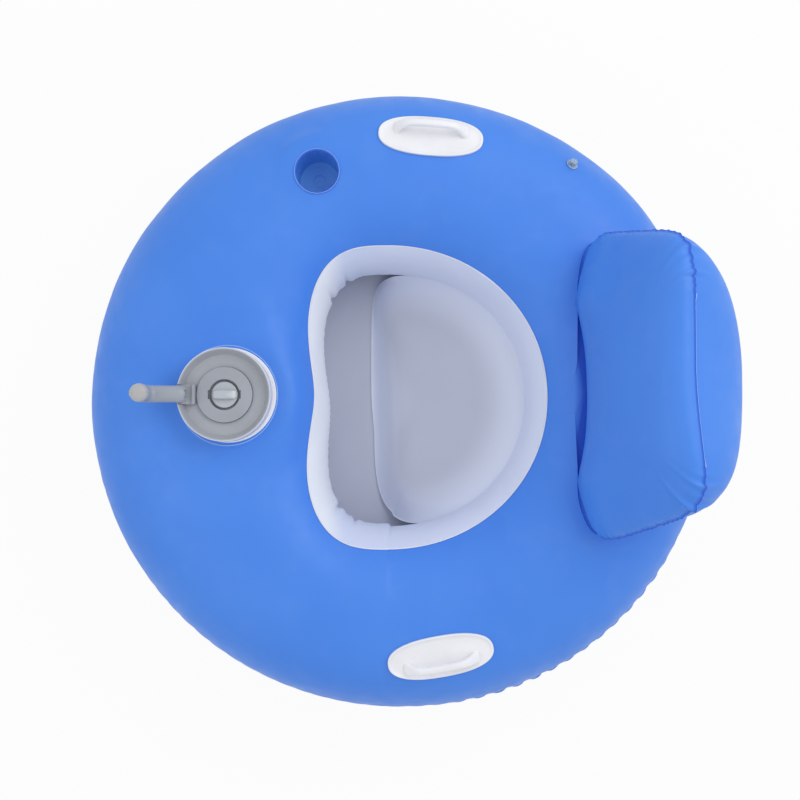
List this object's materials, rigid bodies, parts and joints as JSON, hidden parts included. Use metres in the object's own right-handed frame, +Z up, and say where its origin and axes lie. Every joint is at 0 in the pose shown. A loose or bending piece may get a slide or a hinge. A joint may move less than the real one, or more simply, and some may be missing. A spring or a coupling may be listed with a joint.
{
  "type": "motorized float chair",
  "caption": "Round inflatable lounge float with a D-shaped seat well, backrest, cup holder and grab handles, pushed by a steerable battery drive with a ducted propeller and a tiller.",
  "frame": {"origin": "on the ground plane under the centre of the round float, level with the foot of the drive unit", "axes": "-X forward to the drive unit, +X to the backrest, +Y to the side with the cup holder, +Z up"},
  "size_m": [1.1656, 1.1592, 0.658],
  "materials": {
    "pvc_blue": "satin",
    "pvc_dark_blue": "gloss",
    "pvc_pale_blue": "satin",
    "pvc_white": "satin",
    "moulded_white": "satin",
    "valve_clear": "gloss",
    "abs_grey": "satin",
    "rubber_dark": "matte",
    "grille_grey": "satin",
    "bright_steel": "satin",
    "cell_jacket": "satin",
    "armature_copper": "satin",
    "ferrite": "matte"
  },
  "bodies": {
    "float": {"float_ring": "pvc_blue", "well_wall": "pvc_white", "seat_floor": "pvc_white", "seat_cushion": "pvc_white", "backrest_pillow": "pvc_blue", "cup_holder": "pvc_dark_blue", "right_grab_handle": "moulded_white", "left_grab_handle": "moulded_white", "ring_valve_body": "valve_clear", "backrest_valve_body": "valve_clear", "weld_flange": "pvc_pale_blue", "drive_collar": "moulded_white", "drive_sleeve": "moulded_white", "lower_collar": "moulded_white"},
    "ring_valve_cap": {"ring_valve_cap": "valve_clear"},
    "backrest_valve_cap": {"backrest_valve_cap": "valve_clear"},
    "drive": {"top_housing": "abs_grey", "housing_gasket": "rubber_dark", "lower_housing": "abs_grey", "retaining_ring": "abs_grey", "battery_case": "abs_grey", "lower_contact_plate": "bright_steel", "upper_contact_plate": "bright_steel", "battery_cell_1": "cell_jacket", "battery_cell_2": "cell_jacket", "battery_cell_3": "cell_jacket", "battery_cell_4": "cell_jacket", "battery_cell_5": "cell_jacket", "battery_cell_6": "cell_jacket", "battery_cell_7": "cell_jacket", "battery_cell_8": "cell_jacket", "thrust_duct": "grille_grey", "front_grille": "grille_grey", "rear_grille": "grille_grey", "motor_can": "bright_steel", "upper_magnet": "ferrite", "lower_magnet": "ferrite", "motor_end_bell": "rubber_dark", "pod_tail_cone": "abs_grey", "shaft_seal": "rubber_dark", "tiller_bracket": "abs_grey", "pivot_pin": "bright_steel"},
    "lid": {"battery_lid": "abs_grey", "lid_seal": "rubber_dark"},
    "knob": {"lid_knob": "abs_grey", "latch_cam": "bright_steel"},
    "propeller": {"propeller": "abs_grey", "propeller_nut": "bright_steel", "armature": "armature_copper"},
    "tiller": {"tiller_right_shell": "abs_grey", "tiller_left_shell": "abs_grey", "microswitch": "rubber_dark"},
    "button": {"control_button": "rubber_dark", "switch_plunger": "bright_steel"}
  },
  "joints": [
    {"name": "steer", "type": "hinge", "parent": "float", "child": "drive", "pos_m": [-0.307, 0, 0.422], "axis": [0, 0, 1], "continuous": true},
    {"name": "lid_lift", "type": "slide", "parent": "drive", "child": "lid", "axis": [0, 0, 1], "range_m": [0, 0.12]},
    {"name": "knob_turn", "type": "hinge", "parent": "lid", "child": "knob", "pos_m": [-0.307, 0, 0.45], "axis": [0, 0, 1], "range_deg": [0, 90]},
    {"name": "propeller_spin", "type": "hinge", "parent": "drive", "child": "propeller", "pos_m": [-0.307, 0, 0.062], "axis": [1, 0, 0], "continuous": true},
    {"name": "tiller_fold", "type": "hinge", "parent": "drive", "child": "tiller", "pos_m": [-0.3815, 0, 0.477], "axis": [0, 1, 0], "range_deg": [0, 90]},
    {"name": "button_press", "type": "slide", "parent": "tiller", "child": "button", "axis": [1, 0, 0], "range_m": [0, 0.002], "stiffness_N_per_m": 60},
    {"name": "ring_valve_cap_flip", "type": "hinge", "parent": "float", "child": "ring_valve_cap", "pos_m": [0.3056, 0.42132, 0.40775], "axis": [0.3165, -0.8697, 0.3787], "range_deg": [0, 120]},
    {"name": "backrest_valve_cap_flip", "type": "hinge", "parent": "float", "child": "backrest_valve_cap", "pos_m": [0.55178, 0.08175, 0.41248], "axis": [0.544, 0, 0.8391], "range_deg": [0, 120]}
  ]
}
